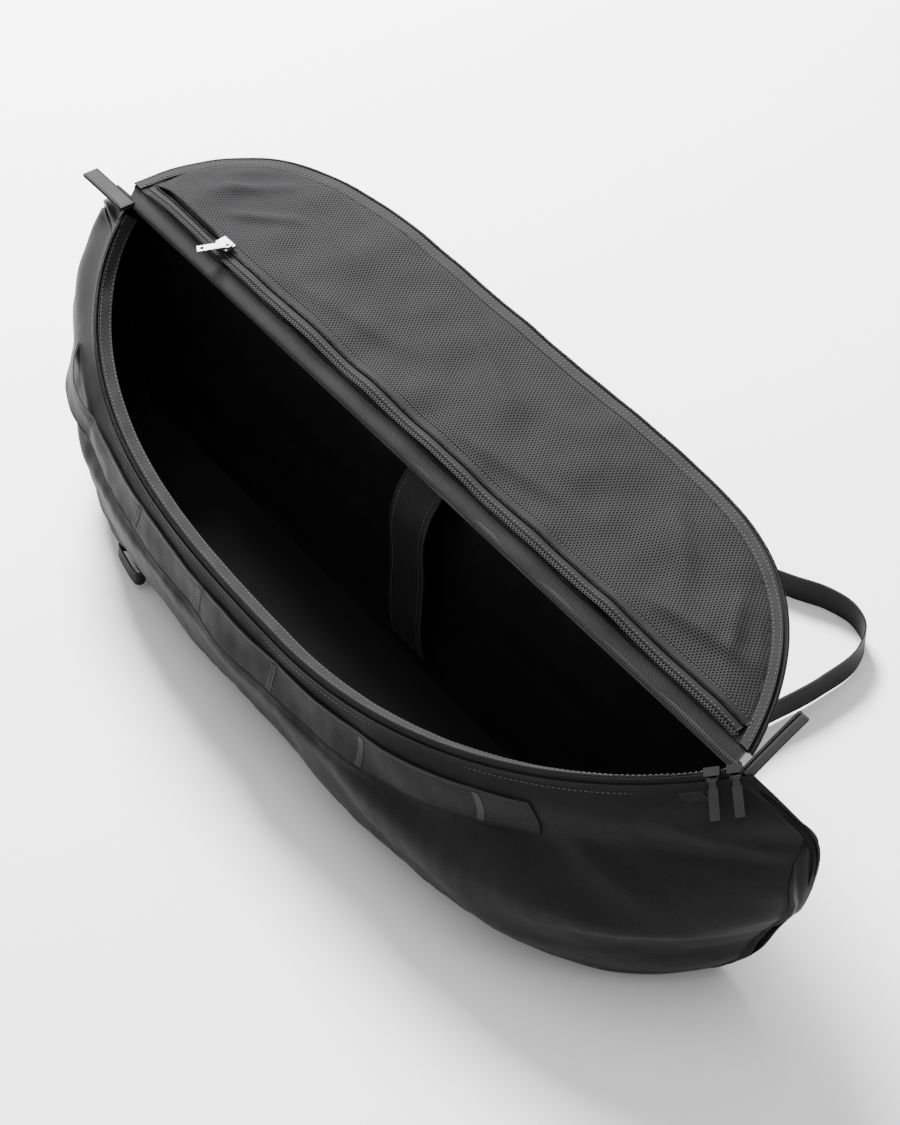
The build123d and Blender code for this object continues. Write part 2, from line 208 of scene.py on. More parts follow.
def tube(path, radius, ring=6, side=None, up=None, flat=1.0):
    if side is None:
        _, side, up = frames(path)
    a = np.linspace(0, 2 * pi, ring, endpoint=False)
    r = np.broadcast_to(np.asarray(radius, float).reshape(-1, 1, 1), (len(path), 1, 1))
    across = side[:, None] * np.cos(a)[None, :, None]
    above = flat * up[:, None] * np.sin(a)[None, :, None]
    pts = path[:, None] + r * (across + above)
    n = len(path)
    i, j = np.meshgrid(np.arange(n - 1), np.arange(ring), indexing="ij")
    k = (j + 1) % ring
    f = np.stack([i * ring + j, i * ring + k, (i + 1) * ring + k, (i + 1) * ring + j], -1).reshape(-1, 4)
    faces = [tuple(q) for q in f]
    faces += [tuple(range(ring))[::-1], tuple((n - 1) * ring + q for q in range(ring))]
    return pts.reshape(-1, 3), faces


def joined(parts):
    verts, faces, count = [], [], 0
    for v, f in parts:
        verts.append(v)
        faces += [tuple(int(q) + count for q in one) for one in f]
        count += len(v)
    return np.concatenate(verts), faces


def coil_mesh(path, radius, pitch, wire, up=None):
    """A nylon coil: a helix laid along a path."""
    fine, at = resample(path, pitch / 7)
    t, side, upv = frames(fine)
    if up is not None:
        side = np.cross(t, up)
        side /= np.linalg.norm(side, axis=1, keepdims=True)
        upv = np.cross(side, t)
    ang = 2 * pi * at / pitch
    helix = fine + side * (radius * np.cos(ang))[:, None] + upv * (radius * 0.8 * np.sin(ang))[:, None]
    return tube(helix, wire, ring=4)


def stitches(path, normal, length=2.6, pitch=4.0, radius=0.32, lift=0.25):
    """A row of short raised stitches along a path, on the side that normal points to."""
    fine, at = resample(path, pitch)
    normal = np.broadcast_to(normal, (len(path), 3))
    seg = np.concatenate([[0], np.cumsum(np.linalg.norm(np.diff(path, axis=0), axis=1))])
    n = np.stack([np.interp(at, seg, normal[:, k]) for k in range(3)], -1)
    t = np.gradient(fine, axis=0)
    t /= np.linalg.norm(t, axis=1, keepdims=True)
    side = np.cross(t, n)
    side /= np.linalg.norm(side, axis=1, keepdims=True)
    parts = []
    for c, tt, nn, ss in zip(fine, t, n, side):
        along = np.array([-0.5, -0.25, 0.25, 0.5])
        rise = np.array([-0.4, 0.6, 0.6, -0.4]) * radius + lift
        line = c + along[:, None] * length * tt + rise[:, None] * nn
        size = np.array([0.45, 1, 1, 0.45]) * radius
        parts.append(tube(line, size, 5, np.tile(ss, (4, 1)), np.tile(nn, (4, 1)), 0.8))
    return joined(parts)


# ------------------------------------------------------------ materials
WAVE_SCALE = 1 / (2 * 3.1416)  # with this the bands repeat about every two weave values


def material(
    name, color, rough=0.85, weave=(0.5, 0.5), bump=0.25, sheen=0.0, metal=0.0, patchy=0.25, gloss=0.09
):
    """A procedural material. weave is about half the rib spacing, in mm, along u and v of the flat layout."""
    m = bpy.data.materials.new(name)
    m.use_nodes = True
    nt = m.node_tree
    nodes, link = nt.nodes, nt.links.new
    bsdf = nodes["Principled BSDF"]
    bsdf.inputs["Metallic"].default_value = metal
    bsdf.inputs["Specular IOR Level"].default_value = gloss
    if sheen:
        bsdf.inputs["Sheen Weight"].default_value = sheen
        bsdf.inputs["Sheen Roughness"].default_value = 0.45
    coord = nodes.new("ShaderNodeTexCoord")
    noise = nodes.new("ShaderNodeTexNoise")
    noise.inputs["Scale"].default_value = 55.0
    noise.inputs["Detail"].default_value = 6.0
    link(coord.outputs["Object"], noise.inputs["Vector"])
    ramp = nodes.new("ShaderNodeMixRGB")
    ramp.inputs["Color1"].default_value = (*[c * (1 - patchy) for c in color], 1)
    ramp.inputs["Color2"].default_value = (*[min(1, c * (1 + patchy)) for c in color], 1)
    link(noise.outputs["Fac"], ramp.inputs["Fac"])
    tint = ramp.outputs["Color"]
    rough_map = nodes.new("ShaderNodeMapRange")
    rough_map.inputs["To Min"].default_value = max(0.03, rough - 0.07)
    rough_map.inputs["To Max"].default_value = min(1.0, rough + 0.07)
    link(noise.outputs["Fac"], rough_map.inputs["Value"])
    link(rough_map.outputs["Result"], bsdf.inputs["Roughness"])
    if weave:
        waves = []
        for axis, pitch in zip(("X", "Y"), weave):
            if not pitch:
                continue
            wave = nodes.new("ShaderNodeTexWave")
            wave.bands_direction = axis
            wave.inputs["Scale"].default_value = WAVE_SCALE / (pitch * MM)
            wave.inputs["Distortion"].default_value = 0.6
            wave.inputs["Detail"].default_value = 1.0
            link(coord.outputs["UV"], wave.inputs["Vector"])
            waves.append(wave.outputs["Fac"])
        height = waves[0]
        if len(waves) > 1:
            mul = nodes.new("ShaderNodeMath")
            mul.operation = "MULTIPLY"
            link(waves[0], mul.inputs[0])
            link(waves[1], mul.inputs[1])
            height = mul.outputs[0]
        shade = nodes.new("ShaderNodeMixRGB")
        shade.blend_type = "MULTIPLY"
        shade.inputs["Fac"].default_value = 0.45
        lift = nodes.new("ShaderNodeMapRange")
        lift.inputs["To Min"].default_value = 0.45
        lift.inputs["To Max"].default_value = 1.3
        link(height, lift.inputs["Value"])
        link(tint, shade.inputs["Color1"])
        link(lift.outputs["Result"], shade.inputs["Color2"])
        tint = shade.outputs["Color"]
        b = nodes.new("ShaderNodeBump")
        b.inputs["Strength"].default_value = bump
        b.inputs["Distance"].default_value = 0.0003
        link(height, b.inputs["Height"])
        fine = nodes.new("ShaderNodeBump")
        fine.inputs["Strength"].default_value = 0.12
        fine.inputs["Distance"].default_value = 0.002
        link(noise.outputs["Fac"], fine.inputs["Height"])
        link(b.outputs["Normal"], fine.inputs["Normal"])
        link(fine.outputs["Normal"], bsdf.inputs["Normal"])
    link(tint, bsdf.inputs["Base Color"])
    return m


def grey(level):
    return (level, level, level * 1.03)


OXFORD = material("oxford_cloth", grey(0.0095), 0.6, (0.9, 0.9), 0.6, sheen=0.03)
SMOOTH = material("coated_cloth", grey(0.015), 0.5, (0.4, 0.4), 0.2, sheen=0.03, gloss=0.08)
LINING = material("lining_cloth", grey(0.006), 0.8, (0.5, 0.5), 0.25)
GROSGRAIN = material("grosgrain", grey(0.017), 0.7, (1.1, 0.0), 0.8, sheen=0.04)
TAPE = material("zip_tape", grey(0.011), 0.75, (0.7, 0.7), 0.5)
COIL = material("nylon_coil", grey(0.010), 0.4, None, gloss=0.16)
WEBBING = material("webbing", grey(0.0125), 0.6, (1.1, 1.5), 0.7, sheen=0.03)
STITCH = material("thread", grey(0.085), 0.6, None)
TACK = material("tack_thread", grey(0.11), 0.6, None)
NET = material("mesh_yarn", grey(0.022), 0.75, None, gloss=0.05)
SILVER = material("plated_metal", (0.15, 0.15, 0.153), 0.5, None, metal=1.0, patchy=0.06, gloss=0.5)
BLACK_METAL = material("black_lacquer", grey(0.012), 0.25, None, metal=0.3, patchy=0.3, gloss=0.5)

# ------------------------------------------------------------ body: one sagging shell, cut at its seams
SEAM_H = np.array([0.0, 0.17, 0.38, 0.50, 0.59, 0.675, 0.72, 0.76, 0.79, 0.85, 0.91, 0.95, 1.0])
SEAM_S = np.array([0.985, 0.988, 0.991, 0.991, 0.989, 0.979, 0.976, 0.980, 0.986, 0.987, 0.987, 0.979, 0.968])


def ridge(x, y, ax, ay, bx, by, width, height, taper=0.5):
    """A soft crease along a segment, in the (s, h) layout scaled to mm."""
    dx, dy = bx - ax, by - ay
    length = (dx * dx + dy * dy) ** 0.5
    t = ((x - ax) * dx + (y - ay) * dy) / length**2
    away = ((x - ax) * dy - (y - ay) * dx) / length
    ends = np.exp(-((np.maximum(0, np.abs(t - 0.5) - 0.5 + taper * 0.5) / (taper * 0.6)) ** 2))
    return height * ends * np.exp(-((away / width) ** 2))


CREASES = [
    # x0, z0, x1, z1, width, height: z is the height up the wall, in mm
    (-250, 95, 40, 88, 16, 3.2),
    (-40, 84, 190, 100, 14, 3.0),
    (-232, 70, -205, 8, 6, 3.0),
    (-120, 60, 60, 20, 22, 2.5),
    (100, 100, 300, 55, 20, 3.5),
    (180, 115, 330, 95, 14, 3.5),
    (60, 62, 250, 18, 24, 2.6),
    (250, 60, 380, 45, 15, 2.8),
    (-330, 120, -250, 95, 14, 3.0),
    (-340, 60, -280, 30, 16, 2.5),
    (300, 130, 372, 118, 7, 3.5),
    (330, 95, 400, 92, 8, 3.0),
    (-385, 150, -350, 100, 10, 2.5),
    (352, 172, 418, 166, 6, 3.0),
    (340, 148, 416, 160, 7, -2.6),
    (-300, 150, -215, 118, 9, 1.8),
]


def folds(pts):
    """How far the filled cloth stands in or out of its smooth shape."""
    x, z = pts[..., 0], pts[..., 2]
    d = np.zeros(x.shape)
    for x0, z0, x1, z1, w, h in CREASES:
        d += ridge(x, z, x0, z0, x1, z1, w, h)
    d += 1.5 * wobble(x, z * 1.6, 150, 3) + 0.7 * wobble(x, z * 1.5, 55, 11)
    d += 0.25 * wobble(x, z, 18, 21)
    return d


def shell_points(s_grid, h):
    """The finished outside surface of the bag for a grid of shares and heights."""
    out = np.empty((*s_grid.shape, 3))
    for j, height in enumerate(h):
        out[:, j] = wall(s_grid[:, j], [height])[:, 0]
    return out


def front_grid(low, high, nu, h):
    """low and high are functions of h giving the shares at the two sides."""
    t = np.linspace(0, 1, nu)[:, None]
    a, b = low(h)[None, :], high(h)[None, :]
    s = a + (b - a) * t
    pts = shell_points(s, h)
    n = normals(pts)
    still = np.clip((1 - h) / 0.16, 0, 1)[None, :] * np.clip(h / 0.1, 0, 1)[None, :]
    d = folds(pts) * still
    return pts + n * d[..., None], n


def seam_at(h):
    return np.interp(h, SEAM_H, SEAM_S)


H_ROWS = np.concatenate([np.linspace(0, 0.12, 9), np.linspace(0.135, 1.0, 78)])
front, _ = front_grid(lambda h: -seam_at(h), seam_at, 420, H_ROWS)
cloth("front_cloth", front, 1.6, OXFORD, nodes=["front_panel"], slot="textured_cloth")

END_SHARE = 0.9995  # the gussets stop just short of the back wall
for side, label in ((-1, "left"), (1, "right")):
    low = seam_at if side > 0 else (lambda h: -np.ones_like(h) * END_SHARE)
    high = (lambda h: np.ones_like(h) * END_SHARE) if side > 0 else (lambda h: -seam_at(h))
    grid, gn = front_grid(low, high, 70, H_ROWS)
    t = np.linspace(0, 1, grid.shape[0])
    away = t if side > 0 else 1 - t
    z = grid[..., 2]
    pucker = 1.3 * np.sin(z / 3.4 + 5 * wobble(z, z, 60, 5)) * np.exp(-away / 0.16)[:, None]
    pucker += 2.4 * np.sin(z / 11.0 + 9 * away[:, None]) * np.exp(-((away - 0.3) / 0.3) ** 2)[:, None]
    fade = (np.clip((1 - H_ROWS) / 0.1, 0, 1) * np.clip(H_ROWS / 0.1, 0, 1))[None, :]
    dip = -2.2 * np.exp(-away / 0.05)[:, None] * fade
    grid = grid + gn * ((pucker * fade * 0.8 + dip)[..., None])
    cloth(f"{label}_end_cloth", grid, 1.5, SMOOTH, nodes=[f"{label}_end_panel"], slot="smooth_cloth")


def back_grid(nx, h, off=0.0):
    left = np.stack([outline(level, -1.0) for level in LEVELS])
    right = np.stack([outline(level, 1.0) for level in LEVELS])
    a, b = hermite(HEIGHTS, left, h), hermite(HEIGHTS, right, h)
    t = np.linspace(0, 1, nx)[:, None, None]
    pts = a[None] + (b - a)[None] * t
    x, z = pts[..., 0], pts[..., 2]
    edge = np.clip((1 - h) / 0.2, 0, 1)[None, :] * np.clip(h / 0.08, 0, 1)[None, :]
    bulge = 2.0 * wobble(x, z, 170, 31) + 0.8 * wobble(x, z, 60, 33)
    pts[..., 1] += bulge * edge * np.clip((430 - np.abs(x)) / 60, 0, 1) - off
    return pts


BACK_H = np.linspace(0, 0.985, 70)
back = back_grid(300, BACK_H)
cloth("back_cloth", back, 1.6, OXFORD, inward=-1.0, nodes=["back_panel"], slot="textured_cloth")

s_floor = np.linspace(-1, 1, 160)
rim_line = outline(LOW[0], s_floor) + [0, 0, 0.1]
t = np.linspace(0, 1, 30)[None, :, None]
back_line = rim_line.copy()
back_line[:, 1] = rim_line[[0, -1], 1].mean()
base = rim_line[:, None] * (1 - t) + back_line[:, None] * t
base[..., 2] = 0.3
base[..., 2] += 0.35 * np.clip(wobble(base[..., 0], base[..., 1], 70, 8), 0, 2) * np.sin(pi * t[..., 0])
base_v, base_f, base_uv = sheet_mesh(base, 1.4, -1.0)
new_object("base_cloth", base_v, base_f, OXFORD, uvs=base_uv, nodes=["base_panel"], slot="textured_cloth")

# lining: a loose inner skin with its own wrinkles
LIN_H = np.linspace(0.02, 0.93, 60)
lin_s = np.linspace(-0.992, 0.992, 260)[:, None] * np.ones((1, 60))
lin = shell_points(lin_s, LIN_H)
lin_n = normals(lin)
lin_x, lin_z = lin[..., 0], lin[..., 2]
lin_off = 4.6 + 1.2 * np.abs(wobble(lin_x, lin_z * 1.4, 60, 41)) + 0.5 * wobble(lin_x, lin_z, 20, 43)
lin = lin - lin_n * lin_off[..., None]
cloth("lining_front", lin, 0.6, LINING, nodes=["front_lining"], slot="lining_cloth")
inner = back_grid(240, np.linspace(0.02, 0.93, 50), 5.0)
cloth("lining_back", inner, 0.6, LINING, inward=-1.0, nodes=["back_lining"], slot="lining_cloth")
floor_in = base.copy()
floor_in[..., 2] = 3.7 + 0.7 * np.clip(wobble(base[..., 0], base[..., 1], 90, 51), -1, 1)
floor_in[..., 0] *= 0.985
cloth("lining_floor", floor_in, 0.5, LINING, inward=-1.0, slot="lining_cloth")


# ------------------------------------------------------------ rim: facing, tape, coil, webbing
def mouth_curve(s, drop, flare=(0.0, 0.0), inset=0.0):
    pts = outline((drop, *flare), s)
    mid = np.array([0.0, HINGE_Y - 0.3 * DEPTH * cos(TILT), RIM_Z - 0.3 * DEPTH * sin(TILT)])
    t = np.gradient(pts, axis=0)
    t /= np.linalg.norm(t, axis=1, keepdims=True)
    n = np.array([0.0, -sin(TILT), cos(TILT)])
    out = np.cross(t, n)
    out /= np.linalg.norm(out, axis=1, keepdims=True)
    out *= np.sign(np.sum(out * (pts - mid), axis=1).mean())
    return pts - out * inset, out


MOUTH_N = np.array([0.0, -sin(TILT), cos(TILT)])
s_rim = np.linspace(-0.992, 0.992, 500)


def rim_strip(name, rows, mat, thick, slot, nodes):
    """A strip along the mouth; rows are (drop, end flare, front flare, inset)."""
    pts = np.stack([mouth_curve(s_rim, d, (fx, fv), i)[0] for d, fx, fv, i in rows], 1)
    return cloth(name, pts, thick, mat, inward=1.0, slot=slot, nodes=nodes)


waves = wobble(s_rim * 400, 0 * s_rim, 40, 61)
facing_rows = []
for k in range(9):
    a = k / 8
    facing_rows.append((13.5 - 11.8 * a, 9 * (1 - a), 3.0 * (1 - a), 2.7 + 10.5 * (1 - a)))
facing = np.stack([mouth_curve(s_rim, d, (fx, fv), i)[0] for d, fx, fv, i in facing_rows], 1)
facing_n = normals(facing)
facing = facing + facing_n * (0.5 * waves[:, None, None] * np.sin(np.linspace(0, pi, 9))[None, :, None])
cloth("rim_facing_cloth", facing, 0.7, GROSGRAIN, slot="grosgrain", nodes=["rim_facing"])
for row, label in ((1, "low"), (7, "top")):
    v, f = stitches(facing[4:-4, row], -facing_n[4:-4, row], 2.4, 3.9, 0.3, 0.75)
    new_object(f"facing_stitch_{label}", v, f, STITCH, slot="thread")

tape_rows = [(8.6, 9.5, 4.2, 1.9), (6.5, 7.4, 3.2, 1.9), (4.5, 4.6, 2.1, 1.9)]
tape_rows += [(2.5, 2.3, 1.0, 1.6), (1.0, 0.8, 0.3, 1.4)]
rim_strip("body_tape_cloth", tape_rows, TAPE, 0.8, "zip_tape", ["body_zip_tape"])
coil_path, _ = mouth_curve(np.linspace(-0.985, 0.988, 700), 0.0, (0, 0), 1.3)
v, f = coil_mesh(coil_path, 1.25, 1.7, 0.42, MOUTH_N[None])
new_object("body_coil", v, f, COIL, slot="zip_coil", nodes=["body_zip_coil"])
edge_rows, _ = mouth_curve(np.linspace(-0.985, 0.985, 500), 8.2, (9.6, 4.3), -0.25)
_, edge_out = mouth_curve(np.linspace(-0.985, 0.985, 500), 8.2, (9.6, 4.3), 0)
v, f = stitches(edge_rows, edge_out, 2.4, 4.0, 0.26, 0.1)
new_object("rim_top_stitch", v, f, TACK, slot="thread")

# daisy chain: slack between its bar tacks
WEB_SPAN = (-0.79, 0.62)
TACKS = [-252.0 + 96.0 * i for i in range(6)]


def share_of(x):
    return np.where(x < ARC_X, (x - ARC_X) / (ARC_X + RIM_HALF), (x - ARC_X) / (RIM_HALF - ARC_X)) / 1.1


web_s = np.linspace(*WEB_SPAN, 420)
tack_s = share_of(np.array(TACKS) + 1.5)
anchors = np.concatenate([[WEB_SPAN[0]], tack_s, [WEB_SPAN[1]]])
slack = np.zeros_like(web_s)
for a, b, lift in zip(anchors[:-1], anchors[1:], (7.5, 1.4, 1.3, 1.6, 1.3, 1.5, 0.8)):
    inside = (web_s >= a) & (web_s <= b)
    slack[inside] = lift * np.sin(pi * (web_s[inside] - a) / (b - a)) ** 0.8
WEB_H = np.linspace(0.785, 0.905, 10)
web = shell_points(np.tile(web_s[:, None], (1, 10)), WEB_H)
web_n = normals(web)
still = np.clip((1 - WEB_H) / 0.16, 0, 1)[None, :]
web = web + web_n * (folds(web) * still + 1.7 + slack[:, None])[..., None]
cloth("daisy_chain", web, 1.3, WEBBING, slot="webbing", nodes=["daisy_chain_webbing"])
parts = []
for ts in tack_s:
    i = int(np.argmin(np.abs(web_s - ts)))
    for k in range(4):
        j = min(i + k - 1, len(web_s) - 1)
        line = web[j, 1:-1] + web_n[j, 1:-1] * 0.35
        zig, _ = resample(line, 1.0)
        tdir = (web[j + 1, 3] - web[j, 3]) / np.linalg.norm(web[j + 1, 3] - web[j, 3])
        zig = zig + tdir * (0.5 * (-1.0) ** np.arange(len(zig)))[:, None]
        parts.append(tube(zig, 0.32, 4))
v, f = joined(parts)
new_object("bar_tack_threads", v, f, TACK, slot="thread", nodes=["bar_tacks"])


# ------------------------------------------------------------ straps, tabs and loops
def band_piece(name, centre, width_dir, width, thick, mat, ribs=5, **kw):
    """A flat strap: a centre line and the direction of its width at each point."""
    a = np.linspace(-0.5, 0.5, ribs)[None, :, None]
    pts = centre[:, None] + width_dir[:, None] * width * a
    n = normals(pts)
    pts = pts + n * thick / 2
    return cloth(name, pts, thick, mat, **kw)


CARRY = [(236, 84), (229, 160), (223, 240), (225, 300), (219, 344), (203, 366), (182, 373)]
CARRY += [(158, 369), (132, 356), (40, 318), (-80, 262), (-178, 186), (-226, 120), (-238, 84)]


def smooth_path(points, count):
    points = np.asarray(points, float)
    d = np.concatenate([[0], np.cumsum(np.linalg.norm(np.diff(points, axis=0), axis=1))])
    return hermite(d, points, np.linspace(0, d[-1], count))


flat = smooth_path(CARRY, 300)
along = np.linspace(0, 1, 300)
centre = np.column_stack([flat, 13.2 + 1.0 * np.sin(along * 9)])
lean = np.column_stack([0.12 * np.sin(along * 7 + 1), 0.12 * np.cos(along * 5), np.ones(300)])
lean /= np.linalg.norm(lean, axis=1, keepdims=True)
band_piece("carry_strap", centre, lean, 25.0, 1.5, WEBBING, 9, slot="webbing", nodes=["shoulder_strap"])

BOARD = [(79, 196), (75, 190), (69, 180), (64.5, 166), (64, 110), (64.5, 40), (67, 26), (73, 12)]
board = smooth_path(BOARD, 90)
bx = 17.0 - 10.0 * np.linspace(0, 1, 90)
centre = np.column_stack([bx, board])
wdir = np.tile([1.0, 0.0, 0.0], (90, 1))
band_piece("board_holding_strap", centre, wdir, 43.0, 1.4, WEBBING, 13, slot="webbing", nodes=["board_strap"])
for dx in (-16.5, 16.5):
    v, f = stitches(centre[4:-4] + [dx, -0.9, 0], np.array([0, -1.0, 0]), 2.6, 4.0, 0.3, 0.2)
    new_object(f"board_strap_stitch_{'l' if dx < 0 else 'r'}", v, f, STITCH, slot="thread")


def folded_tab(name, start, direction, width_dir, length, width, body, nodes):
    """Webbing folded on itself: two layers and a round fold at the free end."""
    start, direction = np.asarray(start, float), np.asarray(direction, float)
    width_dir = np.asarray(width_dir, float)
    direction /= np.linalg.norm(direction)
    width_dir /= np.linalg.norm(width_dir)
    up = np.cross(width_dir, direction)
    r = 1.3
    top = [(d, r) for d in np.linspace(0, length - r, 14)]
    turn = [(length - r + r * sin(a), r * cos(a)) for a in np.linspace(0, pi, 9)[1:-1]]
    low = [(d, -r) for d in np.linspace(length - r, 0, 14)]
    line = np.array(top + turn + low)
    sag = 1.5 * (line[:, 0] / length) ** 2
    centre = start + direction * line[:, :1] + up * (line[:, 1:] - sag[:, None])
    across = np.tile(width_dir, (len(line), 1))
    return band_piece(name, centre, across, width, 1.2, WEBBING, 7, slot="webbing", nodes=nodes, body=body)


TAB_W = 13.0
flat_across = (0, 1, 0.0)
folded_tab(
    "end_tab_left", (-374, 67.5, 209.4), (-1, 0.0, 0.012), flat_across, 59, TAB_W, "bag", ["zip_end_tab_left"]
)
rising, rising_across = (0.02, 0.83, 0.56), (0.0, -0.56, 0.83)
folded_tab(
    "end_tab_right", (376, 74, 209.5), rising, rising_across, 54, TAB_W, "bag", ["zip_end_tab_right"]
)
loop = [(0, 4.2), (-14, 4.2), (-19.5, 3.2), (-21, 0), (-19.5, -3.2), (-14, -4.4), (0, -4.8)]
loop += [(14, -4.4), (19.5, -3.2), (21, 0), (19.5, 3.2), (14, 4.2), (0, 4.2)]
ring = smooth_path(loop, 90)
lean = radians(-10.4)
turned_x = ring[:, 0] * cos(lean) - ring[:, 1] * sin(lean)
turned_y = ring[:, 0] * sin(lean) + ring[:, 1] * cos(lean)
ring = np.column_stack([turned_x, turned_y])
loop_path = np.column_stack([ring[:, 0] - 203, ring[:, 1] - 53.5, np.full(90, 15.0)])
upright = np.tile([0.0, 0.12, 0.99], (90, 1))
band_piece("low_side_loop", loop_path, upright, 12, 1.3, WEBBING, 7, slot="webbing", nodes=["side_loop"])

# ------------------------------------------------------------ lid, in its own flat layout (x, r, w)
LID_NEAR, LID_T, LID_OUT = 13.0, 2.4, -5.0
INNER = LID_OUT + LID_T
LID_N = np.array([[0.0, -sin(LID_ANGLE), cos(LID_ANGLE)]])
ZIP_R = 23.95
ZIP_X0, ZIP_X1, SLIDER_X = -374.0, 351.0, -268.0


def lid_xyz(x, r, w):
    c, s = cos(LID_ANGLE), sin(LID_ANGLE)
    return np.stack(np.broadcast_arrays(x, AXIS_Y + r * c - w * s, AXIS_Z + r * s + w * c), -1)


def lid_reach(x, inset=0.0):
    """How far the lid runs from its axis at x."""
    left = (LID_FAR - inset) * power((LID_X0 - x) / (LID_LEFT - inset), 6.0, 0.45)
    right = (LID_FAR - inset) * power((x - LID_X0) / (LID_RIGHT - inset), 4.0, 0.9)
    return np.where(x < LID_X0, left, right)


def lid_edge(inset, near, count):
    """Points (x, r) evenly spread along the lid's free edge, from left to right."""
    quarter = np.linspace(0, pi / 2, 2000)
    left = -(LID_LEFT - inset) * np.sin(quarter[::-1]) ** 0.5
    right = (LID_RIGHT - inset) * np.sin(quarter)[1:] ** 0.6
    x = LID_X0 + np.concatenate([left, right])
    r = lid_reach(x, inset)
    keep = r >= near
    x, r = x[keep], r[keep]
    d = np.concatenate([[0], np.cumsum(np.hypot(np.diff(x), np.diff(r)))])
    at = np.linspace(0, d[-1], count)
    return np.interp(at, d, x), np.interp(at, d, r)


def lid_sag(x, r):
    """The open lid lies a little uneven: waves along its free edge and a shallow dip across its middle."""
    a = np.clip(r / LID_FAR, 0, 1)
    far = 1.6 * wobble(x, r, 190, 71) * a
    fine = 0.5 * wobble(x, r, 55, 73)
    dome = -0.9 * np.sin(pi * a)
    return far + fine + dome


def lid_fan(inset, near, nx, nr):
    """A grid over the lid: u runs left to right along the free edge, v from the near edge out."""
    x, r = lid_edge(inset, near, nx)
    t = np.linspace(0, 1, nr)[None, :]
    near_x = np.interp(np.arange(nx), [0, nx - 1], [x[0], x[-1]])
    mix = t**0.9
    gx = near_x[:, None] * (1 - mix) + x[:, None] * mix
    gr = near + (r[:, None] - near) * t
    return gx, gr


def lid_cloth(name, inset, near, w, thick, mat, nodes, slot, nx=300, nr=50, extra=None):
    gx, gr = lid_fan(inset, near, nx, nr)
    gw = w + lid_sag(gx, gr) * np.clip((gr - near) / 12, 0, 1)
    if extra is not None:
        gw = gw + extra(gx, gr)
    pts = lid_xyz(gx, gr, gw)
    return cloth(name, pts, thick, mat, nodes=nodes, slot=slot, body="lid")


def lining_waves(x, r):
    return 0.35 * wobble(x, r * 2, 26, 77) * np.clip((lid_reach(x) - r) / 30, 0, 1)


lid_cloth("lid_shell", 4.2, LID_NEAR, LID_OUT + 1.6, 1.5, OXFORD, ["lid_panel"], "textured_cloth")
lid_cloth(
    "lid_inner", 5.0, LID_NEAR, INNER + 0.2, 0.5, LINING, ["lid_lining"], "lining_cloth", extra=lining_waves
)


def lid_strip(name, inset_out, inset_in, near, w, thick, mat, nodes, slot, rows=6, crown=0.0, count=500):
    xo, ro = lid_edge(inset_out, near, count)
    xi, ri = lid_edge(inset_in, near, count)
    t = np.linspace(0, 1, rows)[None, :]
    gx, gr = xi[:, None] * (1 - t) + xo[:, None] * t, ri[:, None] * (1 - t) + ro[:, None] * t
    gw = w + lid_sag(gx, gr) * np.clip((gr - LID_NEAR) / 12, 0, 1) + crown * np.sin(pi * t)
    pts = lid_xyz(gx, gr, gw)
    return cloth(name, pts, thick, mat, inward=1.0, nodes=nodes, slot=slot, body="lid"), pts


_, bind = lid_strip(
    "lid_binding_cloth",
    4.6,
    12.6,
    LID_NEAR,
    INNER + 1.3,
    0.8,
    GROSGRAIN,
    ["lid_binding"],
    "grosgrain",
    crown=0.5,
)
bn = normals(bind)
for row, label in ((1, "inner"), (4, "outer")):
    v, f = stitches(bind[4:-4, row], bn[4:-4, row], 2.3, 3.7, 0.3, 0.1)
    new_object(f"lid_binding_stitch_{label}", v, f, STITCH, slot="thread", body="lid")
lid_strip("lid_tape_cloth", 0.5, 8.0, LID_NEAR + 1, LID_OUT + 1.0, 0.7, TAPE, ["lid_zip_tape"], "zip_tape")
x, r = lid_edge(1.4, LID_NEAR + 1, 900)
coil_line = lid_xyz(x, r, LID_OUT + 0.8 + lid_sag(x, r) * np.clip((r - LID_NEAR) / 12, 0, 1))
v, f = coil_mesh(coil_line, 1.2, 1.7, 0.42, LID_N)
new_object("lid_coil", v, f, COIL, slot="zip_coil", body="lid", nodes=["lid_zip_coil"])


# ------------------------------------------------------------ mesh pocket: a real net
NET_FOLDS = [
    (-330, 60, -290, 110, 7, 3.0),
    (-345, 75, -315, 120, 6, 2.5),
    (-300, 50, -255, 84, 6, 2.5),
    (-200, 40, -90, 62, 9, 2.2),
    (-60, 110, 40, 80, 10, 2.2),
    (20, 40, 130, 58, 8, 2.4),
    (170, 120, 235, 70, 9, 2.6),
    (230, 46, 318, 60, 7, 3.0),
    (262, 100, 300, 56, 6, 2.6),
    (290, 95, 322, 62, 5, 2.4),
]


def mesh_lift(x, r):
    """Height of the net above the lid's lining: low round the edge, slack and rumpled between."""
    edge = np.clip((lid_reach(x, 13.0) - r) / 36, 0, 1)
    ends = np.clip((x + 376) / 45, 0, 1) * np.clip((356 - x) / 30, 0, 1)
    a = np.minimum(edge, ends) ** 0.7
    top = 3.2 + 1.3 * wobble(x, r * 1.6, 130, 81) + 0.5 * wobble(x, r * 1.6, 60, 83)
    for x0, r0, x1, r1, width, height in NET_FOLDS:
        top = top + ridge(x, r, x0, r0, x1, r1, width, height)
    return -1.2 + (np.maximum(top, 0.2) + 1.2) * a


def net_point(x, r, lift=0.0):
    a = np.clip((r - LID_NEAR) / 12, 0, 1)
    return lid_xyz(x, r, mesh_lift(x, r) + lid_sag(x, r) * a + lift)


